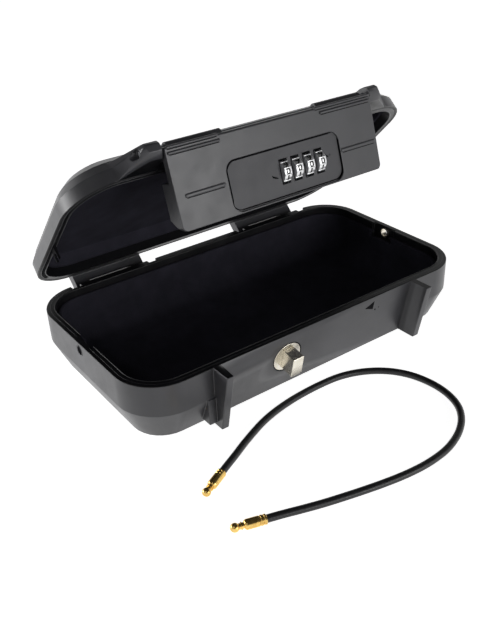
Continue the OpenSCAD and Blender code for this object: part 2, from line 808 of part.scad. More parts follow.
module back_plate_screws() color(steel) at_flap() {
    for (p = screw_places) {
        rod_y(back_depth - screw_l + 0.5, plate_back - screw_head_t, screw_r, p[0], p[1]);
        difference() {
            translate([p[0], plate_back - screw_head_t, p[1]]) rotate([-90, 0, 0])
                cylinder(h = screw_head_t, r1 = screw_r, r2 = screw_head_r);
            block([p[0] - screw_head_r, plate_back - 0.4, p[1] - 0.25], [p[0] + screw_head_r, plate_back + 1, p[1] + 0.25]);
            block([p[0] - 0.25, plate_back - 0.4, p[1] - screw_head_r], [p[0] + 0.25, plate_back + 1, p[1] + screw_head_r]);
        }
    }
}

module wheel_spindle() color(steel) at_flap() {
    rod_x(guide_x1 - 0.5, bay_x1 + bay_wall - 0.2, spindle_r, wheel_y, wheel_z);
}

module number_wheel_1() color(wheel_silver) number_wheel(0);
module number_wheel_2() color(wheel_silver) number_wheel(1);
module number_wheel_3() color(wheel_silver) number_wheel(2);
module number_wheel_4() color(wheel_silver) number_wheel(3);
module number_wheel(i) at_flap() {
    x = wheel_x0 + i * wheel_pitch;
    difference() {
        union() {
            rod_x(x - wheel_w / 2, x + wheel_w / 2, wheel_r - bump_up, wheel_y, wheel_z);
            for (k = [0:bump_n - 1]) {
                a = 360 * (k + 0.5) / bump_n;
                rod_x(x - wheel_w / 2, x + wheel_w / 2, bump_r,
                    wheel_y + (wheel_r - bump_r) * cos(a), wheel_z + (wheel_r - bump_r) * sin(a));
            }
        }
        rod_x(x - wheel_w, x + wheel_w, cam_r + fit, wheel_y, wheel_z);
    }
}

module wheel_cam_1() color(steel) wheel_cam(0);
module wheel_cam_2() color(steel) wheel_cam(1);
module wheel_cam_3() color(steel) wheel_cam(2);
module wheel_cam_4() color(steel) wheel_cam(3);
module wheel_cam(i) at_flap() {
    x = wheel_x0 + i * wheel_pitch;
    difference() {
        rod_x(x - wheel_w / 2, x + wheel_w / 2, cam_r, wheel_y, wheel_z);
        rod_x(x - wheel_w, x + wheel_w, spindle_r + fit, wheel_y, wheel_z);
        block([x - wheel_w, wheel_y + spindle_r + cam_wall, wheel_z - cam_gate / 2],
            [x + wheel_w, wheel_y + cam_r + 1, wheel_z + cam_gate / 2]);
    }
}

module detent_spring() color(steel) at_flap() {
    z0 = wheel_z - bay_half;
    block([bay_x0, inner_y, z0], [bay_x1, back_depth - 0.2, z0 + detent_t]);
    for (i = [0:wheel_n - 1]) {
        x = wheel_x0 + i * wheel_pitch;
        block([x - 1, wheel_y - 1, z0], [x + 1, wheel_y + 1, wheel_z - wheel_r - detent_gap]);
    }
}

module latch_slide() color(steel) at_flap() {
    block([latch_x0, latch_y - latch_t / 2, latch_z - latch_h / 2],
        [latch_x0 + latch_tip_l, latch_y + latch_t / 2, latch_z + latch_h / 2]);
    block([latch_x0 + latch_tip_l, latch_front, latch_z - latch_h / 2],
        [latch_x1, latch_back, latch_z + latch_h / 2]);
    rod_x(latch_x1, latch_x1 + stem_l, stem_r, latch_y, latch_z);
}

module latch_spring() color(steel) at_flap() {
    x0 = latch_x1 + clear + 1.5 * spring_wire;
    x1 = guide_x1 - spring_wire;
    m = spring_turns * spring_steps;
    coil = [for (k = [0:m]) [x0 + (x1 - x0) * k / m,
        latch_y + spring_r * cos(360 * k / spring_steps), latch_z + spring_r * sin(360 * k / spring_steps)]];
    tube(coil, [1, 0, 0], spring_wire, spring_sides);
}

module reset_dial() color(nickel) at_flap() difference() {
    union() {
        rod_y(plate_back - reset_t - 0.1, plate_back - 0.1, reset_r, reset_x, reset_z);
        rod_y(back_depth - reset_pin_l, plate_back - 0.5, reset_pin_r, reset_x, reset_z);
    }
    block([reset_x - reset_r + 1, plate_back - 0.5, reset_z - reset_slot / 2],
        [reset_x + reset_r - 1, plate_back + 1, reset_z + reset_slot / 2]);
}

module security_cable() color(cable_black) {
    tube(smooth(cable_route, cable_steps), [0, 0, 1], cable_r, cable_sides);
}

module cable_ferrule_a() color(brass_gold) ferrule(cable_route[0], cable_route[1]);
module cable_ferrule_b() color(brass_gold) ferrule(cable_route[route_end], cable_route[route_end - 1]);

// The sleeve, neck and round tip at a cable's end, pointing away from the next point of the route
module ferrule(end, next) {
    d = end - next;
    translate(end) rotate([0, 0, atan2(d[1], d[0])]) {
        rod_x(-eps, ferrule_l, ferrule_r, 0, 0);
        rod_x(ferrule_l - eps, ferrule_l + neck_l + 1, neck_r, 0, 0);
        translate([ferrule_l + neck_l + tip_r * 0.8, 0, 0]) sphere(tip_r);
    }
}

base_shell();
base_liner();
rim_seal();
striker_plate();
striker_post();
striker_nut();
cable_eyelet_left();
cable_eyelet_right();
hinge_pin_left();
hinge_pin_right();
lid_shell();
lid_liner();
flap_pivot_pin();
flap_housing();
flap_back_plate();
back_plate_screws();
wheel_spindle();
number_wheel_1();
number_wheel_2();
number_wheel_3();
number_wheel_4();
wheel_cam_1();
wheel_cam_2();
wheel_cam_3();
wheel_cam_4();
detent_spring();
latch_slide();
latch_spring();
reset_dial();
security_cable();
cable_ferrule_a();
cable_ferrule_b();
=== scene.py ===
# Portable safe with its lid open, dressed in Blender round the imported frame
# Lengths here are millimetres until a mesh is made
import math
import bpy
import bmesh
import numpy as np
from mathutils import Matrix, Vector
from mathutils.bvhtree import BVHTree


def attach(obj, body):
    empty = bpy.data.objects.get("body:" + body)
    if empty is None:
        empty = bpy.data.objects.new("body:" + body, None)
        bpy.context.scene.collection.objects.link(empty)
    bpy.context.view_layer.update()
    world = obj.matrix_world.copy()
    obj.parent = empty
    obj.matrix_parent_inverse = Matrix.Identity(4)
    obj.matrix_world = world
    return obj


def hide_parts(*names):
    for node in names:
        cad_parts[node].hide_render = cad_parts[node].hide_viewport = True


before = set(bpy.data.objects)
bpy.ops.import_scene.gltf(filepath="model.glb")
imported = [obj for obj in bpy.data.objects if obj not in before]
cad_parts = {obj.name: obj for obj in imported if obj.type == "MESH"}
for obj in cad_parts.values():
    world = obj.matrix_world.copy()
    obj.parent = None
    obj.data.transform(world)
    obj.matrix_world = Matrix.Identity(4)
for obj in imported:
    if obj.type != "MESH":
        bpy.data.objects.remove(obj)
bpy.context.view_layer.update()  # frame["bodies"], ["nodes"], ["joints"], ["record"]
print("frame loaded:", len(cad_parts), "nodes")

mm = 0.001
lidPlace = {"hingeY": 70.0, "hingeZ": 28.5, "turn": math.radians(46)}
flapPlace = {"pivotY": -18.2526, "pivotZ": 142.9211, "slant": math.radians(-17.1113)}


def linearColour(hexText):
    # sRGB to linear: below 0.04045 divide by 12.92, above it ((c + 0.055) / 1.055) to the power 2.4
    parts = [int(hexText[i:i + 2], 16) / 255 for i in (1, 3, 5)]
    return tuple(c / 12.92 if c <= 0.04045 else ((c + 0.055) / 1.055) ** 2.4 for c in parts) + (1.0,)


def onLid(p):
    # the shut lid's frame turned open about the rear hinge: y and z turn by 46 degrees, x stays
    c, s = math.cos(lidPlace["turn"]), math.sin(lidPlace["turn"])
    y, z = p[:, 1] - lidPlace["hingeY"], p[:, 2] - lidPlace["hingeZ"]
    return np.column_stack([p[:, 0], lidPlace["hingeY"] + y * c + z * s, lidPlace["hingeZ"] - y * s + z * c])


def onFlap(p):
    # the flap's frame, y into the flap and z up from its pivot, turned by its slant and set at the pivot
    c, s = math.cos(flapPlace["slant"]), math.sin(flapPlace["slant"])
    return np.column_stack([p[:, 0], flapPlace["pivotY"] + p[:, 1] * c - p[:, 2] * s,
                            flapPlace["pivotZ"] + p[:, 1] * s + p[:, 2] * c])


def onBase(p):
    return p


def gridFaces(rows, cols, wrapRows=False, wrapCols=False):
    # quads between neighbouring rows and columns of a grid of points, closed round where asked
    r, c = np.meshgrid(np.arange(rows if wrapRows else rows - 1), np.arange(cols if wrapCols else cols - 1), indexing="ij")
    r, c = r.ravel(), c.ravel()
    r2, c2 = (r + 1) % rows, (c + 1) % cols
    return np.column_stack([r * cols + c, r * cols + c2, r2 * cols + c2, r2 * cols + c])


def facingOut(mesh, weld=0.0):
    # merges the doubles within the weld distance, then turns the faces outwards
    shape = bmesh.new()
    shape.from_mesh(mesh)
    if weld:
        bmesh.ops.remove_doubles(shape, verts=shape.verts, dist=weld * mm)
    bmesh.ops.recalc_face_normals(shape, faces=shape.faces)
    shape.to_mesh(mesh)
    shape.free()


def addPiece(name, points, faces, material, body, replaces=(), place=onBase, weld=0.0):
    # a mesh from points in millimetres; with a weld distance its doubles are merged and its normals turned outwards
    mesh = bpy.data.meshes.new(name)
    mesh.from_pydata((place(np.asarray(points, float)) * mm).tolist(), [], np.asarray(faces).tolist())
    if weld:
        facingOut(mesh, weld)
    return finishPiece(name, mesh, material, body, replaces)


def finishPiece(name, mesh, material, body, replaces=(), sharpAngle=38):
    piece = bpy.data.objects.new(name, mesh)
    bpy.context.scene.collection.objects.link(piece)
    mesh.polygons.foreach_set("use_smooth", np.ones(len(mesh.polygons), bool))
    mesh.set_sharp_from_angle(angle=math.radians(sharpAngle))
    mesh.materials.clear()
    mesh.materials.append(material)
    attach(piece, body)
    if replaces:
        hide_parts(*replaces)
    return piece


# How edges are rounded: flat, joined and smooth in degrees, double, slit and long in mm, the last three as shares of
# the edge's width
rounding = {"flat": 0.8, "joined": 0.2, "double": 0.001, "slit": 0.002, "tries": 10, "long": 12, "smooth": 50,
            "stray": 1.05, "touching": 0.02, "reach": 1.6}


def mergedCopy(node):
    # the CAD node's loose triangles joined to a closed skin, with flat neighbours made one face
    shape = bmesh.new()
    shape.from_mesh(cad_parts[node].data)
    bmesh.ops.remove_doubles(shape, verts=shape.verts, dist=rounding["double"] * mm)
    bmesh.ops.dissolve_limit(shape, angle_limit=math.radians(rounding["flat"]), verts=shape.verts, edges=shape.edges)
    return shape


def farFromLines(points, starts, ends):
    # distance of each line from the nearest of the points
    along = ends - starts
    t = np.einsum("pik,ik->pi", points[:, None] - starts[None], along) / np.maximum((along ** 2).sum(1), 1e-18)
    return np.linalg.norm(points[:, None] - starts - np.clip(t, 0, 1)[..., None] * along, axis=2).min(0)


def softenedCopy(node, name, materials, body, width, segments=2, angle=24, region=None):
    # a copy of a CAD node with its edges rounded to the moulding's radius; an edge that can't be rounded cleanly stays sharp
    original = mergedCopy(node)
    isSharp = [e.is_manifold and e.calc_face_angle(0) > math.radians(angle) for e in original.edges]
    starts = np.array([e.verts[0].co for e in original.edges])
    ends = np.array([e.verts[1].co for e in original.edges])
    long = np.linalg.norm(ends - starts, axis=1) > rounding["long"] * mm
    bmesh.ops.triangulate(original, faces=original.faces)
    nearest = BVHTree.FromBMesh(original)
    original.free()
    keep = np.array(isSharp)
    for attempt in range(rounding["tries"]):
        shape = mergedCopy(node)
        chosen = [e for e, k in zip(shape.edges, keep) if k]
        bmesh.ops.bevel(shape, geom=chosen, offset=width * mm, offset_type="OFFSET", segments=segments, profile=0.5,
                        affect="EDGES", clamp_overlap=False, loop_slide=True)
        bmesh.ops.remove_doubles(shape, verts=shape.verts, dist=rounding["slit"] * mm)
        bmesh.ops.triangulate(shape, faces=shape.faces)
        wrong = []
        for face in shape.faces:
            if face.calc_area() > 1e-10:
                point, normal, index, gap = nearest.find_nearest(face.calc_center_median())
                folded = gap < rounding["touching"] * width * mm and face.normal.dot(normal) < 0.2
                if gap > rounding["stray"] * width * mm or folded:
                    wrong += [v.co[:] for v in face.verts]
        if not wrong:
            break
        close = farFromLines(np.unique(np.array(wrong), axis=0), starts, ends) < rounding["reach"] * width * mm
        close &= keep
        keep &= ~(close & ~long) if (close & ~long).any() else ~close
        shape.free()
    bmesh.ops.dissolve_limit(shape, angle_limit=math.radians(rounding["joined"]), verts=shape.verts, edges=shape.edges)
    mesh = bpy.data.meshes.new(name)
    shape.to_mesh(mesh)
    shape.free()
    piece = finishPiece(name, mesh, materials[0], body, (node,), rounding["smooth"])
    for extra in materials[1:]:
        mesh.materials.append(extra)
    if region:
        count = len(mesh.polygons)
        centres, normals = np.zeros(count * 3), np.zeros(count * 3)
        mesh.polygons.foreach_get("center", centres)
        mesh.polygons.foreach_get("normal", normals)
        chosenLook = region(centres.reshape(-1, 3) / mm, normals.reshape(-1, 3))
        mesh.polygons.foreach_set("material_index", chosenLook.astype(int))
    # keeps the large faces flat beside their rounded edges
    weighted = piece.modifiers.new("flatFaces", "WEIGHTED_NORMAL")
    weighted.keep_sharp = True
    weighted.weight = 50
    print(name, "rounded", int(keep.sum()), "of", int(np.sum(isSharp)), "edges")
    return piece


def onShutLid(p):
    # back from the open lid to the shut one: the hinge's turn the other way
    c, s = math.cos(lidPlace["turn"]), math.sin(lidPlace["turn"])
    y, z = p[:, 1] - lidPlace["hingeY"], p[:, 2] - lidPlace["hingeZ"]
    return np.column_stack([p[:, 0], lidPlace["hingeY"] + y * c - z * s, lidPlace["hingeZ"] + y * s + z * c])


def turnedBack(n):
    c, s = math.cos(lidPlace["turn"]), math.sin(lidPlace["turn"])
    return np.column_stack([n[:, 0], n[:, 1] * c - n[:, 2] * s, n[:, 1] * s + n[:, 2] * c])


def offFlap(p):
    c, s = math.cos(flapPlace["slant"]), math.sin(flapPlace["slant"])
    y, z = p[:, 1] - flapPlace["pivotY"], p[:, 2] - flapPlace["pivotZ"]
    return np.column_stack([p[:, 0], y * c + z * s, z * c - y * s])


# Outlines from above; lean is how far the front wall leans in from the rim down to the floor
outline = {"base": {"halfX": 120.0, "front": -65.5, "back": 65.5, "corner": 27.0, "rim": 38.0, "lean": 8},
           "lid": {"halfX": 117.7, "front": -63.2, "back": 62.3, "corner": 29.0, "rim": 38.45}}


def insetFrom(shape, x, y):
    # distance inside a rectangle with rounded corners: within a corner's square it is measured from the corner's centre
    middle, halfY = (shape["front"] + shape["back"]) / 2, (shape["back"] - shape["front"]) / 2
    across = np.abs(x) - (shape["halfX"] - shape["corner"])
    along = np.abs(y - middle) - (halfY - shape["corner"])
    outside = np.hypot(np.maximum(across, 0), np.maximum(along, 0)) + np.minimum(np.maximum(across, along), 0)
    return shape["corner"] - outside


def frontLean(z):
    return outline["base"]["lean"] * (outline["base"]["rim"] - z) / outline["base"]["rim"]


def frontWallY(z):
    return outline["base"]["front"] + frontLean(np.asarray(z))


def baseInside(p, n):
    # the rim's top, the walls behind it and the faces turned up on the hinge side: near-black painted shade, where the
    # outside keeps the satin shell
    shape = outline["base"]
    y = np.where(p[:, 1] < 0, p[:, 1] - frontLean(p[:, 2]), p[:, 1])
    inset = insetFrom(shape, p[:, 0], y)
    skin = np.where(p[:, 2] < 19.6, 10.0, 1.6)
    rim = (p[:, 2] > 37.5) & (inset > -0.2)
    # faces turned up on the hinge side take painted shade
    hinge = (p[:, 1] > 58) & (n[:, 2] > 0.3) & (p[:, 2] > 20)
    return rim | ((inset > skin) & (p[:, 2] > 3)) | hinge


def lidInside(p, n):
    q, m = onShutLid(p), turnedBack(n)
    inset = insetFrom(outline["lid"], q[:, 0], q[:, 1])
    rise = q[:, 2] - outline["lid"]["rim"]
    skin = 1.6 + np.interp(rise, [7.5, 13, 18], [0, 4.5, 11])
    # near-black painted shade on faces turned down and on the lid's inside
    inside = ((m[:, 2] < -0.5) & (inset > -0.3)) | ((inset > skin) & (q[:, 2] < 53.6))
    # the band on the hinge side and the two keepers take the matt near-black look: painted shade
    band = (q[:, 1] > 25) & (inset > 4.5) & (inset < 13) & (q[:, 2] < 53.6)
    keeper = (q[:, 2] < 38.2) & (np.abs(q[:, 1] - 2) < 4) & (np.abs(q[:, 0]) > 112)
    return np.where(band | keeper, 2, inside)


recess = {"left": -37.0, "right": 41.0, "top": -13.6, "bottom": -41.6, "corner": 6.0, "face": -6.3, "floor": -5.2,
          "width": 0.4, "shade": (1.1, -1.5), "across": 10, "margin": 0.2}


def flapRecess(p, n):
    q = offFlap(p)
    more = recess["margin"]
    across = (q[:, 0] > recess["left"] - more) & (q[:, 0] < recess["right"] + more)
    upright = (q[:, 2] < recess["top"] + more) & (q[:, 2] > recess["bottom"] - more)
    return across & upright & (q[:, 1] > recess["face"] + 0.1) & (q[:, 1] < recess["floor"] + 1.6)


def turned(profile, sides, origin, axis):
    # a lathe form: (distance along the axis, radius) pairs carried round the axis in equal turns
    axis = np.asarray(axis, float) / np.linalg.norm(axis)
    side = np.cross(axis, (0.0, 0.0, 1.0)) if abs(axis[2]) < 0.9 else np.cross(axis, (1.0, 0.0, 0.0))
    side /= np.linalg.norm(side)
    other = np.cross(axis, side)
    turn = np.linspace(0, 2 * math.pi, sides, endpoint=False)
    ring = np.cos(turn)[:, None] * side + np.sin(turn)[:, None] * other
    profile = np.asarray(profile, float)
    points = np.asarray(origin) + profile[:, None, :1] * axis + profile[:, None, 1:] * ring[None]
    return points.reshape(-1, 3), gridFaces(len(profile), sides, wrapCols=True)


# Camera
view = {"place": (-260.51, -359.79, 275.81), "yaw": 35.48, "pitch": 30.59, "roll": -2.3, "lens": 46.326}


def aimCamera():
    yaw, pitch, roll = (math.radians(view[k]) for k in ("yaw", "pitch", "roll"))
    forward = Vector((math.sin(yaw) * math.cos(pitch), math.cos(yaw) * math.cos(pitch), -math.sin(pitch)))
    right = Vector((math.cos(yaw), -math.sin(yaw), 0))
    top = right.cross(forward)
    right, top = math.cos(roll) * right + math.sin(roll) * top, math.cos(roll) * top - math.sin(roll) * right
    camera = bpy.data.objects.new("camera", bpy.data.cameras.new("camera"))
    camera.data.lens = view["lens"]
    camera.data.sensor_width = 36
    camera.data.clip_start = 0.01
    turn = Matrix((right, top, -forward)).transposed().to_4x4()
    camera.matrix_world = Matrix.Translation(Vector(view["place"]) * mm) @ turn
    bpy.context.scene.collection.objects.link(camera)
    bpy.context.scene.camera = camera


aimCamera()


# Materials
def addNode(tree, kind, settings=None, inputs=None):
    node = tree.nodes.new(kind)
    for key, value in (settings or {}).items():
        setattr(node, key, value)
    for key, value in (inputs or {}).items():
        if isinstance(value, bpy.types.NodeSocket):
            tree.links.new(value, node.inputs[key])
        else:
            node.inputs[key].default_value = value
    return node


def startMaterial(name, **constant):
    material = bpy.data.materials.new(name)
    material.use_nodes = True
    tree = material.node_tree
    shader = tree.nodes["Principled BSDF"]
    for key, value in constant.items():
        shader.inputs[key.replace("_", " ")].default_value = value
    place = addNode(tree, "ShaderNodeTexCoord").outputs["Object"]
    return material, tree, shader, place


def colourBetween(tree, factor, dark, light, low=0.0, high=1.0):
    ramp = addNode(tree, "ShaderNodeValToRGB", inputs={"Fac": factor})
    ramp.color_ramp.elements[0].position, ramp.color_ramp.elements[1].position = low, high
    ramp.color_ramp.elements[0].color, ramp.color_ramp.elements[1].color = linearColour(dark), linearColour(light)
    return ramp.outputs["Color"]


def noise(tree, place, size, detail=2.0, rough=0.5):
    # a noise whose blobs are about size millimetres wide
    return addNode(tree, "ShaderNodeTexNoise", inputs={"Vector": place, "Scale": 1 / (size * mm), "Detail": detail,
                                                        "Roughness": rough}).outputs["Fac"]


def rangeOf(tree, factor, low, high, fromLow=0.3, fromHigh=0.7):
    return addNode(tree, "ShaderNodeMapRange", inputs={"Value": factor, "From Min": fromLow, "From Max": fromHigh,
                                                        "To Min": low, "To Max": high}).outputs["Result"]


def bump(tree, height, depth, strength=1.0, normal=None):
    inputs = {"Height": height, "Distance": depth * mm, "Strength": strength}
    if normal is not None:
        inputs["Normal"] = normal
    return addNode(tree, "ShaderNodeBump", inputs=inputs).outputs["Normal"]


def link(tree, socket, shader, name):
    tree.links.new(socket, shader.inputs[name])


def mouldedShell():
    # ABS, injection moulded in a lightly spark-eroded tool: a charcoal satin skin with faint handling marks
    material, tree, shader, place = startMaterial("abs_moulded_charcoal_satin", IOR=1.52)
    link(tree, colourBetween(tree, noise(tree, place, 22, 3), "#414144", "#49494d", 0.3, 0.7), shader, "Base Color")
    link(tree, rangeOf(tree, noise(tree, place, 9, 4, 0.6), 0.3, 0.4), shader, "Roughness")
    grain = noise(tree, place, 0.9, 3)  # the real grain is about 0.3 mm wide, drawn at 0.9 mm so that it shows
    link(tree, bump(tree, grain, 0.03, 0.5), shader, "Normal")
    return material


def polishedInside():
    # ABS, the same moulding as the outside: near-black and glossy as painted shade on faces turned up or inwards, with
    # wiping marks from use
    material, tree, shader, place = startMaterial("abs_black_painted_shade", IOR=1.52)
    shader.inputs["Specular IOR Level"].default_value = 0.35
    link(tree, colourBetween(tree, noise(tree, place, 16, 3), "#101012", "#18181b", 0.3, 0.7), shader, "Base Color")
    link(tree, rangeOf(tree, noise(tree, place, 7, 4, 0.6), 0.3, 0.42), shader, "Roughness")
    link(tree, bump(tree, noise(tree, place, 1.6), 0.01, 0.3), shader, "Normal")
    return material


def smoothInset():
    # ABS in the recess: darker than the skin round it, with a fainter grain and a rougher sheen; on the recess walls
    # the darker colour is painted shade
    material, tree, shader, place = startMaterial("abs_moulded_recess_darker", IOR=1.5)
    link(tree, colourBetween(tree, noise(tree, place, 18, 3), "#38383c", "#3e3e42", 0.3, 0.7), shader, "Base Color")
    link(tree, rangeOf(tree, noise(tree, place, 7, 4, 0.6), 0.42, 0.5), shader, "Roughness")
    link(tree, bump(tree, noise(tree, place, 0.9, 3), 0.02, 0.4), shader, "Normal")
    return material


def mattGroove():
    # near-black and matt, without shine: painted shade in the lid's hinge-side band and keepers, the recess fillet, the
    # strips under the grip lines, the striker's gap and the wall pockets; on the index marks it is their own dark
    # colour
    material, tree, shader, place = startMaterial("abs_moulded_groove_matt", IOR=1.2)
    shader.inputs["Specular IOR Level"].default_value = 0.2
    link(tree, colourBetween(tree, noise(tree, place, 3, 3), "#0c0c0e", "#141417"), shader, "Base Color")
    link(tree, rangeOf(tree, noise(tree, place, 1.5), 0.6, 0.75), shader, "Roughness")
    return material


def foamLining():
    # EVA foam, closed cell, cut from sheet and glued in: dead matt black with a fine pore
    material, tree, shader, place = startMaterial("eva_foam_sheet_black", IOR=1.45, Roughness=0.95)
    shader.inputs["Specular IOR Level"].default_value = 0.15
    link(tree, colourBetween(tree, noise(tree, place, 14, 4), "#2d2c34", "#373640", 0.3, 0.7), shader, "Base Color")
    pores = addNode(tree, "ShaderNodeTexVoronoi", inputs={"Vector": place, "Scale": 1 / (1.1 * mm)}).outputs["Distance"]
    link(tree, bump(tree, pores, 0.12, 0.6), shader, "Normal")
    return material


def sealRubber():
    # nitrile rubber, extruded: black with a dull sheen along its length
    material, tree, shader, place = startMaterial("nitrile_extruded_black", IOR=1.52)
    link(tree, colourBetween(tree, noise(tree, place, 6), "#101012", "#19191b"), shader, "Base Color")
    link(tree, rangeOf(tree, noise(tree, place, 3), 0.45, 0.6), shader, "Roughness")
    link(tree, bump(tree, noise(tree, place, 1.2), 0.03, 0.4), shader, "Normal")
    return material


def platedNickel():
    # zinc casting, nickel plated and tumbled: warm silver with soft ripples
    material, tree, shader, place = startMaterial("zinc_nickel_plated", Metallic=1.0)
    link(tree, colourBetween(tree, noise(tree, place, 5), "#ddd7c9", "#ece7da", 0.3, 0.7), shader, "Base Color")
    link(tree, rangeOf(tree, noise(tree, place, 4, 2), 0.22, 0.3), shader, "Roughness")
    link(tree, bump(tree, noise(tree, place, 3, 1), 0.006, 0.25), shader, "Normal")
    return material


def pinSteel():
    # mild steel, drawn and zinc coated: grey with fine lines along the piece
    material, tree, shader, place = startMaterial("steel_drawn_zinc_coated", Metallic=1.0)
    lines = addNode(tree, "ShaderNodeMapping", inputs={"Vector": place, "Scale": (0.12, 1, 1)}).outputs["Vector"]
    link(tree, colourBetween(tree, noise(tree, lines, 0.8, 3), "#a5a7aa", "#bfc1c4", 0.3, 0.7), shader, "Base Color")
    link(tree, rangeOf(tree, noise(tree, lines, 0.6, 3), 0.3, 0.45), shader, "Roughness")
    link(tree, bump(tree, noise(tree, lines, 0.6, 3), 0.02, 0.4), shader, "Normal")
    return material


def wheelMetal():
    # zinc wheel, cast and satin chrome plated: bright silver, slightly uneven
    material, tree, shader, place = startMaterial("zinc_satin_chrome", Metallic=1.0)
    link(tree, colourBetween(tree, noise(tree, place, 1.5), "#e3e4e6", "#f4f4f4", 0.3, 0.7), shader, "Base Color")
    link(tree, rangeOf(tree, noise(tree, place, 0.8, 3), 0.26, 0.4), shader, "Roughness")
    link(tree, bump(tree, noise(tree, place, 0.8), 0.02, 0.5), shader, "Normal")
    return material


def numeralEnamel():
    # enamel, rolled into the wheel's figures: black with a slight gloss
    material, tree, shader, place = startMaterial("enamel_filled_black", IOR=1.5)
    link(tree, colourBetween(tree, noise(tree, place, 0.6), "#0d0d0e", "#1a1a1b"), shader, "Base Color")
    link(tree, rangeOf(tree, noise(tree, place, 0.5), 0.35, 0.5), shader, "Roughness")
    return material


def cableSkin():
    # PVC, extruded over a twisted steel rope: black satin, with the rope's lay showing through as low ridges
    material, tree, shader, place = startMaterial("pvc_extruded_over_rope", IOR=1.53)
    shader.inputs["Specular IOR Level"].default_value = 0.4
    run = addNode(tree, "ShaderNodeUVMap", {"uv_map": "length"}).outputs["UV"]
    split = addNode(tree, "ShaderNodeSeparateXYZ", inputs={"Vector": run})
    turn = addNode(tree, "ShaderNodeMath", {"operation": "MULTIPLY_ADD"}, {
        0: split.outputs["Y"], 1: 7.0, 2: 0.0}).outputs[0]  # seven strands round the cable
    along = addNode(tree, "ShaderNodeMath", {"operation": "MULTIPLY_ADD"}, {
        0: split.outputs["X"], 1: 62.0, 2: turn}).outputs[0]  # 620 ridges to the metre
    wave = addNode(tree, "ShaderNodeMath", {"operation": "MULTIPLY"}, {0: along, 1: 2 * math.pi}).outputs[0]
    lay = addNode(tree, "ShaderNodeMath", {"operation": "SINE"}, {0: wave}).outputs[0]
    scuff = noise(tree, place, 2.4, 4, 0.6)
    link(tree, colourBetween(tree, scuff, "#1b1b1d", "#29292b", 0.3, 0.75), shader, "Base Color")
    link(tree, rangeOf(tree, scuff, 0.3, 0.46), shader, "Roughness")
    link(tree, bump(tree, lay, 0.05, 0.35, bump(tree, noise(tree, place, 0.9), 0.05, 0.4)), shader, "Normal")
    return material


def turnedBrass():
    # brass, turned on a lathe and lacquered: yellow with fine rings and a few darker stains
    material, tree, shader, place = startMaterial("brass_turned_lacquered", Metallic=1.0)
    link(tree, colourBetween(tree, noise(tree, place, 2.2, 3), "#c9a055", "#ecc878", 0.25, 0.6), shader, "Base Color")
    link(tree, rangeOf(tree, noise(tree, place, 1.0, 3), 0.14, 0.3), shader, "Roughness")
    link(tree, bump(tree, noise(tree, place, 0.7), 0.02, 0.4), shader, "Normal")
    return material


looks = {"shell": mouldedShell(), "inside": polishedInside(), "inset": smoothInset(), "groove": mattGroove(),
         "foam": foamLining(), "seal": sealRubber(), "nickel": platedNickel(), "steel": pinSteel(), "wheel": wheelMetal(),
         "figure": numeralEnamel(), "cable": cableSkin(), "brass": turnedBrass()}
print("materials made:", len(looks))

# Security cable, along the same points as in the part's source; slope and end lift it to the ferrules' height
cable = {"radius": 2.0, "sides": 28, "steps": 10, "endZ": 2.65, "slopeZ": 2.35, "lieZ": 2.05,
         "route": [(-97, -100.5, "end"), (-92, -98, "end"), (-84.5, -94.2, "slope"), (-72.5, -88), (-58, -81.7),
                   (-47, -78.3), (-35, -76), (-23, -74.8), (-10, -74.5), (3, -75.4), (14, -78.5), (24, -84), (32, -91.5), (37.4, -100.5),
                   (40.2, -110.5), (40.8, -120.5), (39.2, -130), (35.3, -138.7), (29, -146), (21, -151.7), (12.8, -155.5),
                   (4, -158.1), (-5.5, -159.3), (-16, -159.4), (-27.8, -158.2), (-39.4, -156.1), (-50.8, -153.5),
                   (-61, -150.9), (-71.5, -148), (-82, -144.9, "slope"), (-91, -142.1, "end"), (-99, -139.6, "end")]}
ferrule = {"radius": 2.6, "length": 11.0, "neck": 1.5, "neckLength": 2.6, "tip": 2.3}


def cableLine():
    # a curve through the route's points: each stretch is the cubic that passes its ends with its neighbours' slope
    heights = {"end": cable["endZ"], "slope": cable["slopeZ"]}
    p = np.array([(q[0], q[1], heights[q[2]] if len(q) > 2 else cable["lieZ"]) for q in cable["route"]], float)
    before = np.vstack([p[:1], p[:-2]])
    after = np.vstack([p[2:], p[-1:]])
    t = np.linspace(0, 1, cable["steps"], endpoint=False)[None, :, None]
    a, b, c, d = before[:, None], p[:-1, None], p[1:, None], after[:, None]
    line = 0.5 * (2 * b + (c - a) * t + (2 * a - 5 * b + 4 * c - d) * t ** 2 + (3 * b - a - 3 * c + d) * t ** 3)
    return np.vstack([line.reshape(-1, 3), p[-1:]])


def tubeAlong(line, radius, sides):
    # a circle carried square to the line, its upright side kept up, with both ends closed by a fan of quads
    slope = np.gradient(line, axis=0)
    slope /= np.linalg.norm(slope, axis=1)[:, None]
    side = np.cross(slope, (0.0, 0.0, 1.0))
    side /= np.linalg.norm(side, axis=1)[:, None]
    top = np.cross(side, slope)
    turn = np.linspace(0, 2 * math.pi, sides + 1)
    ring = np.cos(turn)[None, :, None] * side[:, None] + np.sin(turn)[None, :, None] * top[:, None]
    return line[:, None] + radius * ring, turn


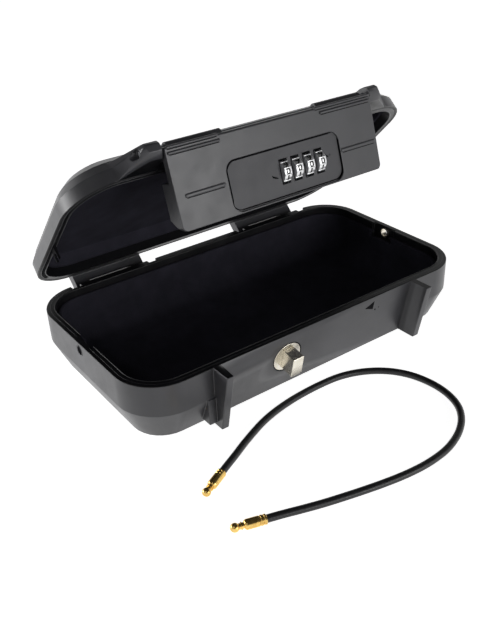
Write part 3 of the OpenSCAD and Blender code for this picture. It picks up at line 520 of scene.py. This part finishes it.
def makeCable():
    line = cableLine()
    rings, turn = tubeAlong(line, cable["radius"], cable["sides"])
    rows, cols = rings.shape[:2]
    mesh = bpy.data.meshes.new("cable_skin")
    points = np.vstack([rings[:, :-1].reshape(-1, 3), line[:1], line[-1:]])
    n = cols - 1
    walls = gridFaces(rows, n, wrapCols=True)
    k = np.arange(n)
    first, last = rows * n, rows * n + 1
    caps = [(first, (i + 1) % n, i) for i in k] + [(last, (rows - 1) * n + i, (rows - 1) * n + (i + 1) % n) for i in k]
    mesh.from_pydata((points * mm).tolist(), [], walls.tolist() + caps)
    run = np.concatenate([[0], np.cumsum(np.linalg.norm(np.diff(line, axis=0), axis=1))]) * mm
    layer = mesh.uv_layers.new(name="length")  # x is metres along the cable times ten, y is turns round it
    loopVerts = np.zeros(len(mesh.loops), int)
    mesh.loops.foreach_get("vertex_index", loopVerts)
    row, col = np.minimum(loopVerts // n, rows - 1), loopVerts % n
    u = run[row] * 10
    v = col / n
    faceStart = np.zeros(len(mesh.polygons), int)
    mesh.polygons.foreach_get("loop_start", faceStart)
    seam = np.zeros(len(mesh.loops), bool)
    for start in faceStart[: len(walls)][(np.arange(len(walls)) % n) == n - 1]:
        seam[start:start + 4] = True
    v = np.where(seam & (col == 0), 1.0, v)
    layer.data.foreach_set("uv", np.column_stack([u, v]).ravel())
    facingOut(mesh)
    return finishPiece("cable_skin", mesh, looks["cable"], "base", ("security_cable",)), line


def ferruleProfile():
    # sleeve with a rolled mouth and two crimp rings, a stepped neck with a collar, then a round tip
    r, l, nr, nl, tr = (ferrule[k] for k in ("radius", "length", "neck", "neckLength", "tip"))
    line = [(-0.02, 0.0), (-0.02, r - 0.5), (0.0, r - 0.25), (0.25, r), (1.0, r), (1.25, r - 0.22), (1.7, r - 0.22),
            (1.95, r), (2.8, r), (3.05, r - 0.22), (3.5, r - 0.22), (3.75, r), (l - 1.4, r), (l - 0.7, r - 0.15), (l - 0.15, r - 0.7),
            (l, r - 0.95), (l, nr), (l + 0.9, nr), (l + 1.0, nr + 0.45), (l + 1.5, nr + 0.45), (l + 1.6, nr),
            (l + nl - 0.1, nr)]
    centre = l + nl + tr * 0.8
    turn = np.linspace(math.acos(-min(1, math.sqrt(1 - (nr / tr) ** 2))), 0, 16)
    return line + [(centre + tr * math.cos(a), tr * math.sin(a)) for a in turn]


cableSkinPiece, cableRun = makeCable()
for name, end, nextOne in (("a", cable["route"][0], cable["route"][1]), ("b", cable["route"][-1], cable["route"][-2])):
    outward = (end[0] - nextOne[0], end[1] - nextOne[1], 0)
    points, faces = turned(ferruleProfile(), 48, (end[0], end[1], cable["endZ"]), outward)
    addPiece("ferrule_turned_" + name, points, faces, looks["brass"], "base",
                                  ("cable_ferrule_" + name,), weld=0.001)

# Shells: the moulding's own radii on each of the three mouldings
shells = {"base": 0.45, "lid": 0.4, "flap": 0.3, "steps": 2}
# the second look is the near-black painted shade on faces turned up or inwards
both = (looks["shell"], looks["inside"])
softenedCopy("base_shell", "base_moulding", both, "base", shells["base"], shells["steps"], region=baseInside)
softenedCopy("lid_shell", "lid_moulding", both + (looks["groove"],), "lid", shells["lid"], shells["steps"],
             region=lidInside)
softenedCopy("flap_housing", "flap_moulding", (looks["shell"], looks["inset"]), "flap", shells["flap"],
             shells["steps"], region=flapRecess)
print("shells made")

# Linings and seal
for liner, foam, body, width in (("base_liner", "base_foam", "base", 0.6), ("lid_liner", "lid_foam", "lid", 0.7)):
    softenedCopy(liner, foam, (looks["foam"],), body, width, 2)  # a tight flat sheet of foam
softenedCopy("rim_seal", "seal_strip", (looks["seal"],), "lid", 0.3, 2)

# Moulded lips along both rims and along the lining's top edge: [inset from the outside, half width, rise]
lips = {"base": {"lines": [(5.1, 0.34, 0.26), (2.6, 0.22, 0.12)], "from": 96.0, "level": 38.0, "forward": 0.0},
        "lid": {"lines": [(2.42, 0.22, 0.14), (5.1, 0.28, 0.14)], "from": 96.0, "level": 38.45, "forward": 0.0},
        "lining": {"lines": [(6.95, 1.2, 0.55)], "from": 0.0, "level": 33.0, "forward": 1.05},
        "across": 9, "fade": 3.0, "notch": (2.0, 6.0)}


def rimRun(shape, values, inset, step=1.5):
    # round the rim from the back by the left side to the back again, with quarter turns at the four corners
    x, back, r = shape["halfX"] - inset, shape["back"] - inset, shape["corner"] - inset
    front = shape["front"] + inset + values["forward"]
    turn = np.linspace(0, math.pi / 2, 24)
    half = [(-q, back) for q in np.arange(values["from"], x - r, step)] if values["from"] < x - r else []
    half += [(-x + r - r * math.sin(a), back - r + r * math.cos(a)) for a in turn]
    half += [(-x, y) for y in np.arange(back - r - step, front + r, -step)]
    half += [(-x + r - r * math.cos(a), front + r - r * math.sin(a)) for a in turn]
    half += [(q, front) for q in np.arange(-x + r + step, 0, step)]
    left = np.array(half)
    return np.vstack([left, (left * (-1, 1))[::-1]])


def lipAlong(name, run, values, level, down, material, body, place):
    # a half ellipse carried along the run, square to it; its width and height fade to nothing at both ends
    inset, half, rise = values
    slope = np.gradient(run, axis=0)
    slope /= np.linalg.norm(slope, axis=1)[:, None]
    side = np.column_stack([slope[:, 1], -slope[:, 0]])
    passed = np.concatenate([[0], np.cumsum(np.linalg.norm(np.diff(run, axis=0), axis=1))])
    size = np.sqrt(np.clip(np.minimum(passed, passed[-1] - passed) / lips["fade"], 0, 1))
    turn = np.linspace(0, math.pi, lips["across"])
    across = np.concatenate([np.cos(turn), [-1, 1]]) * half
    height = np.concatenate([np.sin(turn) * rise, [-0.15, -0.15]])
    x = run[:, :1] + side[:, :1] * across * size[:, None]
    y = run[:, 1:] + side[:, 1:] * across * size[:, None]
    z = level + (-1 if down else 1) * np.broadcast_to(height, x.shape) * size[:, None]
    points = np.stack([x, y, z], -1)
    return addPiece(name, points.reshape(-1, 3), gridFaces(*x.shape, wrapCols=True), material, body, place=place,
                    weld=0.001)


def addLips(part, shape, material, down, body, place, notched):
    # where the rim is notched for the ferrules, the lip stops on both sides of the notch
    for i, values in enumerate(lips[part]["lines"], 1):
        run = rimRun(shape, lips[part], values[0])
        free = ~((np.abs(run[:, 1] - lips["notch"][0]) < lips["notch"][1]) & (np.abs(run[:, 0]) > 100)) | (not notched)
        ends = np.flatnonzero(np.diff(np.concatenate([[0], free.astype(int), [0]])))
        for k in range(0, len(ends), 2):
            lipAlong("%s_rim_lip_%d_%d" % (part, i, k // 2 + 1), run[ends[k]:ends[k + 1]], values, lips[part]["level"], down,
                     material, body, place)


# the base's lips take the rim's near-black painted shade
addLips("base", outline["base"], looks["inside"], False, "base", onBase, True)
addLips("lid", outline["lid"], looks["shell"], True, "lid", onLid, False)
addLips("lining", outline["base"], looks["foam"], False, "base", onBase, True)
print("lips made")

# Hollow curve between the base lining's floor and its walls
cove = {"radius": 8.0, "start": 24.0, "corner": 14.0, "across": 10}


def liningCove():
    # rays from a ring inside the tray find the wall and the floor; a curve that touches both is carried round them
    lining = mergedCopy("base_liner")
    bmesh.ops.triangulate(lining, faces=lining.faces)
    walls = BVHTree.FromBMesh(lining)
    lining.free()
    down = walls.ray_cast(Vector((0, 0, 0.03)), Vector((0, 0, -1)))[0].z / mm
    shape = dict(outline["base"], corner=cove["start"] + cove["corner"])
    ring = rimRun(shape, {"from": 0.0, "forward": 0.0}, cove["start"])
    slope = np.roll(ring, -1, axis=0) - np.roll(ring, 1, axis=0)
    slope /= np.linalg.norm(slope, axis=1)[:, None]
    rows = []
    for (x, y), (sx, sy) in zip(ring, slope):
        out = Vector((sy, -sx, 0))
        high = walls.ray_cast(Vector((x, y, down + cove["radius"])) * mm, out)[0]
        low = walls.ray_cast(Vector((x, y, down + 0.3)) * mm, out)[0]
        if high is None or low is None:
            continue
        high, low = np.array(high) / mm, np.array(low) / mm
        low[2] = down
        foot = low - np.array(out) * cove["radius"]
        t = np.linspace(0, 1, cove["across"])[:, None]
        curve = (1 - t) ** 2 * high + 2 * t * (1 - t) * low + t ** 2 * foot
        under = [foot + (0, 0, -0.4), low + np.array(out) * 0.5 + (0, 0, -0.4), high + np.array(out) * 0.5]
        rows.append(np.vstack([curve, under]))
    points = np.array(rows)
    return addPiece("lining_cove", points.reshape(-1, 3), gridFaces(*points.shape[:2], wrapRows=True, wrapCols=True),
                    looks["foam"], "base", place=onBase, weld=0.001)


liningCove()
print("cove made")

# Lock metal
softenedCopy("striker_plate", "striker_disc", (looks["nickel"],), "base", 0.25, 3)
softenedCopy("striker_post", "striker_block", (looks["nickel"],), "base", 0.45, 3)

gapRing = {"inner": 0.05, "outer": 0.55, "proud": 0.05, "sunk": 0.3, "sides": 72}


def strikerGap():
    # a near-black ring round the round plate where it is let into the wall: painted shade in the gap
    box = np.array(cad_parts["striker_plate"].bound_box)
    low, high = box.min(0) / mm, box.max(0) / mm
    turn = np.linspace(0, 2 * math.pi, gapRing["sides"], endpoint=False)
    inner, outer = ((high[0] - low[0]) / 2 + gapRing[k] for k in ("inner", "outer"))
    sunk, proud = gapRing["sunk"], -gapRing["proud"]
    rings = []
    for r, sink in ((inner, sunk), (inner, proud), (outer, proud), (outer, sunk)):
        z = (low[2] + high[2]) / 2 + r * np.sin(turn)
        y = frontWallY(z) + sink
        rings.append(np.column_stack([(low[0] + high[0]) / 2 + r * np.cos(turn), y, z]))
    points = np.stack(rings, 1)
    return addPiece("striker_gap_shade", points.reshape(-1, 3), gridFaces(*points.shape[:2], wrapRows=True, wrapCols=True),
                    looks["groove"], "base", place=onBase, weld=0.001)


strikerGap()

# Grip lines on the flap's face: [left end, right end, height, half width, rise]
gripLines = {"lines": [(-64.2, -38.9, -25.6, 1.15, 0.75), (41.4, 68.0, -26.4, 1.15, 0.75), (-69.0, -37.4, 0.1, 0.85, 1.1),
                       (-68.6, -36.6, -2.9, 0.9, 1.1), (27.0, 69.0, 0.1, 0.85, 1.1), (30.6, 68.6, -2.9, 0.9, 1.1)],
             "face": -6.4, "sink": 0.4, "across": 14, "along": 24, "shadowWidth": 0.4}


def gripLine(i, left, right, height, half, rise):
    # a long half-round: across it the height follows a flattened semicircle, and both ends close in a quarter round
    turn = np.linspace(0, math.pi, gripLines["across"])
    ends = np.sin(np.linspace(-math.pi / 2, math.pi / 2, gripLines["along"]))
    x = np.where(ends < 0, left + half * (1 + ends), right - half * (1 - ends))
    size = np.sqrt(np.clip(1 - np.where(ends < 0, (1 + np.minimum(ends, 0)) - 1, ends) ** 2, 0, 1))
    y = gripLines["face"] - rise * size[:, None] * np.sin(turn)[None] ** 0.7
    z = height + half * size[:, None] * np.cos(turn)[None]
    top = np.stack([np.broadcast_to(x[:, None], y.shape), y, z], -1)
    floor = top.copy()
    floor[..., 1] = gripLines["face"] + gripLines["sink"]
    count = top.shape[0] * top.shape[1]
    faces = gridFaces(*top.shape[:2])
    points = np.vstack([top.reshape(-1, 3), floor.reshape(-1, 3)])
    edge = []
    cols = top.shape[1]
    for r in range(top.shape[0] - 1):
        for c in (0, cols - 1):
            edge.append((r * cols + c, (r + 1) * cols + c, count + (r + 1) * cols + c, count + r * cols + c))
    allFaces = faces.tolist() + (faces[:, ::-1] + count).tolist() + edge
    return addPiece("grip_line_%d" % i, points, allFaces, looks["shell"], "flap", place=onFlap, weld=0.002)


for i, values in enumerate(gripLines["lines"]):
    gripLine(i + 1, *values)

# Fillet round the recess drawn with painted shade, small wall pockets drawn as painted shade, and index marks
def recessFillet():
    # a hollow fillet from the wall to the floor of the recess, near-black as painted shade, widest along its top and
    # its left side where the shade falls
    r, turn = recess["corner"], np.linspace(0, math.pi / 2, 20)
    middles = [(recess["left"] + r, recess["top"] - r, 1), (recess["left"] + r, recess["bottom"] + r, 2),
               (recess["right"] - r, recess["bottom"] + r, 3), (recess["right"] - r, recess["top"] - r, 4)]
    path, out = [], []
    for x, z, quarter in middles:
        for a in turn + quarter * math.pi / 2:
            path.append((x + r * math.cos(a), z + r * math.sin(a)))
            out.append((math.cos(a), math.sin(a)))
    path, out = np.array(path), np.array(out)
    width = recess["width"] + np.maximum(0, -out @ np.array(recess["shade"]))
    t = np.linspace(0, math.pi / 2, recess["across"])
    inward = np.concatenate([1 - np.cos(t), [1, -0.3, -0.3]])
    deep = recess["face"] + (recess["floor"] - recess["face"]) * np.sin(t)
    deep = np.concatenate([deep, [recess["floor"] + 0.3, recess["floor"] + 0.3, recess["face"] + 0.1]])
    x = path[:, :1] - out[:, :1] * inward * width[:, None]
    z = path[:, 1:] - out[:, 1:] * inward * width[:, None]
    points = np.stack([x, np.broadcast_to(deep, x.shape), z], -1)
    return addPiece("recess_fillet", points.reshape(-1, 3), gridFaces(*x.shape, wrapRows=True, wrapCols=True),
                    looks["groove"], "flap", place=onFlap, weld=0.001)


def flatPlate(name, outlinePoints, face, out, material, body, place):
    # a thin plate with the given outline in x and z, from 0.2 mm under the face to the given height over it
    count = len(outlinePoints)
    ring = np.array(outlinePoints, float)
    face = np.broadcast_to(face, count)
    front = np.column_stack([ring[:, 0], face - out, ring[:, 1]])
    rear = np.column_stack([ring[:, 0], face + 0.2, ring[:, 1]])
    faces = [(0, i, i + 1) for i in range(1, count - 1)] + [(count, count + i + 1, count + i) for i in range(1, count - 1)]
    for i in range(count):
        k = (i + 1) % count
        faces += [(i, count + i, count + k), (i, count + k, k)]
    return addPiece(name, np.vstack([front, rear]), faces, material, body, place=place, weld=0.001)


def roundOutline(x, z, radius, count=16):
    turn = np.linspace(0, 2 * math.pi, count, endpoint=False)
    return [(x + radius * math.cos(a), z + radius * math.sin(a)) for a in turn]


for i, (left, right, height, half, rise) in enumerate(gripLines["lines"], 1):
    # a narrow near-black strip under each bar: painted shadow
    low, high = height - half - gripLines["shadowWidth"], height - half + 0.1
    flatPlate("grip_painted_shadow_%d" % i, [(left + half, high), (left + half, low), (right - half, low), (right - half, high)],
              gripLines["face"], 0.04, looks["groove"], "flap", onFlap)
recessFillet()
marks = {"left": [(-8.4, -28.9), (-8.0, -30.2), (-6.6, -30.9), (-4.3, -31.5), (-4.5, -30.9), (-6.4, -30.3), (-7.5, -29.7),
                  (-8.0, -28.8)],
         "right": [(30.5, -26.9), (31.6, -27.2), (32.4, -28.2), (32.6, -27.9), (31.9, -26.8), (30.6, -26.4)]}
for name, line in marks.items():
    flatPlate("index_mark_" + name, line, recess["floor"], 0.05, looks["groove"], "flap", onFlap)
# near-black flat plates on the front wall: painted shade standing for a small triangular pocket and three small round
# pockets
pockets = {"triangle": [(34.4, 31.4), (41.4, 34.6), (41.4, 28.6)], "dot_1": roundOutline(43.6, 27.4, 0.6),
           "dot_2": roundOutline(46.4, 28.2, 0.4), "dot_3": roundOutline(79.8, 34.9, 0.5)}
for name, line in pockets.items():
    flatPlate("wall_pocket_shade_" + name, line, frontWallY([z for x, z in line]), 0.06, looks["groove"], "base", onBase)
print("flap and wall details made")

# Number wheels
wheel = {"x": (0.7, 9.0, 17.3, 25.6), "y": -2.25, "z": -28.4, "width": 5.0, "bore": 3.05, "face": 6.42, "bump": 6.7,
         "bumps": 10, "sides": 360, "figure": 4.76, "rise": 0.05, "stretch": (1.22, 1.04), "boldness": 0.17,
         "depth": 0.08, "bumpHalf": 0.09, "slice": 0.3}


def wheelForm(x):
    # a ring whose radius is the face, raised by ten narrow bumps between the figures, with chamfered sides
    turn = np.linspace(0, 2 * math.pi, wheel["sides"], endpoint=False)
    # the bump's height over its angle follows a parabola's root, so it has a round crown and steep sides
    phase = np.abs(((turn * wheel["bumps"] / (2 * math.pi)) % 1) - 0.5)
    lift = np.clip(1 - (phase / wheel["bumpHalf"]) ** 2, 0, 1) ** 0.5
    outer = wheel["face"] + (wheel["bump"] - wheel["face"]) * lift
    half = wheel["width"] / 2
    section = [(-half, 0, wheel["bore"]), (-half, 1, -0.35), (-half + 0.12, 1, -0.1), (-half + 0.35, 1, 0),
               (half - 0.35, 1, 0), (half - 0.12, 1, -0.1), (half, 1, -0.35), (half, 0, wheel["bore"])]
    xs = np.array([s[0] for s in section])
    radii = np.array([[s[2]] * wheel["sides"] if s[1] == 0 else outer + s[2] for s in section]).T
    y = wheel["y"] + radii * np.cos(turn)[:, None]
    z = wheel["z"] + radii * np.sin(turn)[:, None]
    points = np.stack([np.broadcast_to(x + xs, y.shape), y, z], -1).reshape(-1, 3)
    return points, gridFaces(wheel["sides"], len(section), wrapRows=True, wrapCols=True)


def slicedAcross(mesh, step):
    # cuts flat text into narrow bands, so that it can follow the wheel
    shape = bmesh.new()
    shape.from_mesh(mesh)
    bmesh.ops.triangulate(shape, faces=shape.faces)
    heights = [v.co.y for v in shape.verts]
    for level in np.arange(min(heights) + step, max(heights), step):
        bmesh.ops.bisect_plane(shape, geom=shape.verts[:] + shape.edges[:] + shape.faces[:], dist=1e-5,
                               plane_co=(0, level, 0), plane_no=(0, 1, 0))
    shape.to_mesh(mesh)
    shape.free()


def figureMeshes(x):
    # each figure is flat text bent onto the wheel: its height becomes an angle, its width stays along the axis
    allPoints, allFaces, count = [], [], 0
    for k in range(wheel["bumps"]):
        curve = bpy.data.curves.new("figure", "FONT")
        curve.body = str(k)
        curve.align_x, curve.align_y = "CENTER", "CENTER"
        curve.size = wheel["figure"]
        curve.offset = wheel["boldness"]
        curve.extrude = wheel["depth"]
        curve.resolution_u = 5
        holder = bpy.data.objects.new("figure", curve)
        bpy.context.scene.collection.objects.link(holder)
        bpy.context.view_layer.update()
        mesh = bpy.data.meshes.new_from_object(holder.evaluated_get(bpy.context.evaluated_depsgraph_get()))
        slicedAcross(mesh, wheel["slice"])
        flat = np.zeros(len(mesh.vertices) * 3)
        mesh.vertices.foreach_get("co", flat)
        flat = flat.reshape(-1, 3)
        flat[:, :2] -= (flat[:, :2].max(0) + flat[:, :2].min(0)) / 2
        flat[:, :2] *= wheel["stretch"]
        angle = math.pi - flat[:, 1] / wheel["face"] + k * 2 * math.pi / wheel["bumps"]
        radius = wheel["face"] + wheel["rise"] - wheel["depth"] + flat[:, 2]
        y, z = wheel["y"] + radius * np.cos(angle), wheel["z"] + radius * np.sin(angle)
        allPoints.append(np.column_stack([x + flat[:, 0], y, z]))
        allFaces += [[v + count for v in p.vertices] for p in mesh.polygons]
        count += len(flat)
        bpy.data.objects.remove(holder)
        bpy.data.curves.remove(curve)
        bpy.data.meshes.remove(mesh)
    return np.vstack(allPoints), allFaces


def addFigures(i, x):
    points, faces = figureMeshes(x)
    mesh = bpy.data.meshes.new("wheel_figures_%d" % i)
    mesh.from_pydata((onFlap(points) * mm).tolist(), [], faces)
    facingOut(mesh, weld=0.001)
    finishPiece(mesh.name, mesh, looks["figure"], "wheel_%d" % i)


for i, x in enumerate(wheel["x"], 1):
    points, faces = wheelForm(x)
    addPiece("wheel_ring_%d" % i, points, faces, looks["wheel"], "wheel_%d" % i, ("number_wheel_%d" % i,),
             onFlap, 0.001)
    addFigures(i, x)
print("wheels made")

# CAD nodes whose shape is right keep it, and take the finish of the real piece
kept = {"steel": ["hinge_pin_left", "hinge_pin_right", "striker_nut", "flap_pivot_pin", "flap_back_plate",
                  "back_plate_screws", "wheel_spindle", "wheel_cam_1", "wheel_cam_2", "wheel_cam_3", "wheel_cam_4",
                  "detent_spring", "latch_slide", "latch_spring"],
        "nickel": ["reset_dial", "cable_eyelet_right"], "shell": ["cable_eyelet_left"]}
for look, names in kept.items():
    for name in names:
        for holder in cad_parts[name].material_slots:
            holder.material = looks[look]

# Floor, world and lamps
studio = {"floor": 6.0, "world": 0.25, "ceiling": 0.05, "dim": (0.18, 0.55), "glow": 0.93, "aim": (0.0, -0.02, 0.06),
          "lamps": [("back_left", (-1.15, 0.95, 0.2), 0.7, 14.0), ("front", (0.4, -1.4, 0.22), 0.9, 9.5),
                    ("upper_left", (-0.75, -0.5, 0.85), 0.22, 0.7)]}


def seenOrMirrored(tree):
    # the light path, and 1 for what the camera sees directly, in a reflection or through glass
    ray = addNode(tree, "ShaderNodeLightPath")
    seen = ray.outputs["Is Camera Ray"]
    for kind in ("Is Glossy Ray", "Is Transmission Ray"):
        seen = addNode(tree, "ShaderNodeMath", {"operation": "MAXIMUM"}, {0: seen, 1: ray.outputs[kind]}).outputs[0]
    return ray, seen


def paleFloor():
    # matt white sweep: seen by the camera, metal and glass as white, it still takes the object's shadow
    material, tree, shader, place = startMaterial("studio_sweep_white", Roughness=0.9)
    shader.inputs["Base Color"].default_value = linearColour("#f4f4f4")
    ray, seen = seenOrMirrored(tree)
    glow = addNode(tree, "ShaderNodeMath", {"operation": "MULTIPLY"}, {0: seen, 1: studio["glow"]})
    shader.inputs["Emission Color"].default_value = (1, 1, 1, 1)
    link(tree, glow.outputs[0], shader, "Emission Strength")
    return material


def makeStudio():
    half = studio["floor"]
    mesh = bpy.data.meshes.new("floor")
    mesh.from_pydata([(-half, -half, 0), (half, -half, 0), (half, half, 0), (-half, half, 0)], [], [(0, 1, 2, 3)])
    floor = bpy.data.objects.new("floor", mesh)
    mesh.materials.append(paleFloor())
    bpy.context.scene.collection.objects.link(floor)
    world = bpy.data.worlds.new("studio")
    world.use_nodes = True
    tree = world.node_tree
    ray, seen = seenOrMirrored(tree)
    strength = addNode(tree, "ShaderNodeMapRange", inputs={"Value": seen, "To Min": studio["world"], "To Max": 1.0})
    # white walls all round, and a ceiling that darkens above them in all but the camera's own view
    way = addNode(tree, "ShaderNodeSeparateXYZ", inputs={"Vector": addNode(tree, "ShaderNodeTexCoord").outputs["Generated"]})
    height = addNode(tree, "ShaderNodeMapRange", {"interpolation_type": "SMOOTHSTEP"}, {
        "Value": way.outputs["Z"], "From Min": studio["dim"][0], "From Max": studio["dim"][1], "To Min": 1.0,
        "To Max": studio["ceiling"]})
    whole = addNode(tree, "ShaderNodeMath", {"operation": "MULTIPLY"}, {
        0: strength.outputs["Result"], 1: height.outputs["Result"]})
    whole = addNode(tree, "ShaderNodeMath", {"operation": "MAXIMUM"}, {
        0: whole.outputs[0], 1: ray.outputs["Is Camera Ray"]})
    background = tree.nodes["Background"]
    background.inputs["Color"].default_value = (1, 1, 1, 1)
    tree.links.new(whole.outputs[0], background.inputs["Strength"])
    bpy.context.scene.world = world
    for name, place, size, power in studio["lamps"]:
        lamp = bpy.data.lights.new(name, "AREA")
        lamp.size = size
        lamp.energy = power
        holder = bpy.data.objects.new(name, lamp)
        holder.location = place
        holder.rotation_euler = (Vector(studio["aim"]) - Vector(place)).to_track_quat("-Z", "Y").to_euler()
        bpy.context.scene.collection.objects.link(holder)


makeStudio()
bpy.context.scene.view_settings.view_transform = "Standard"
print("studio set")
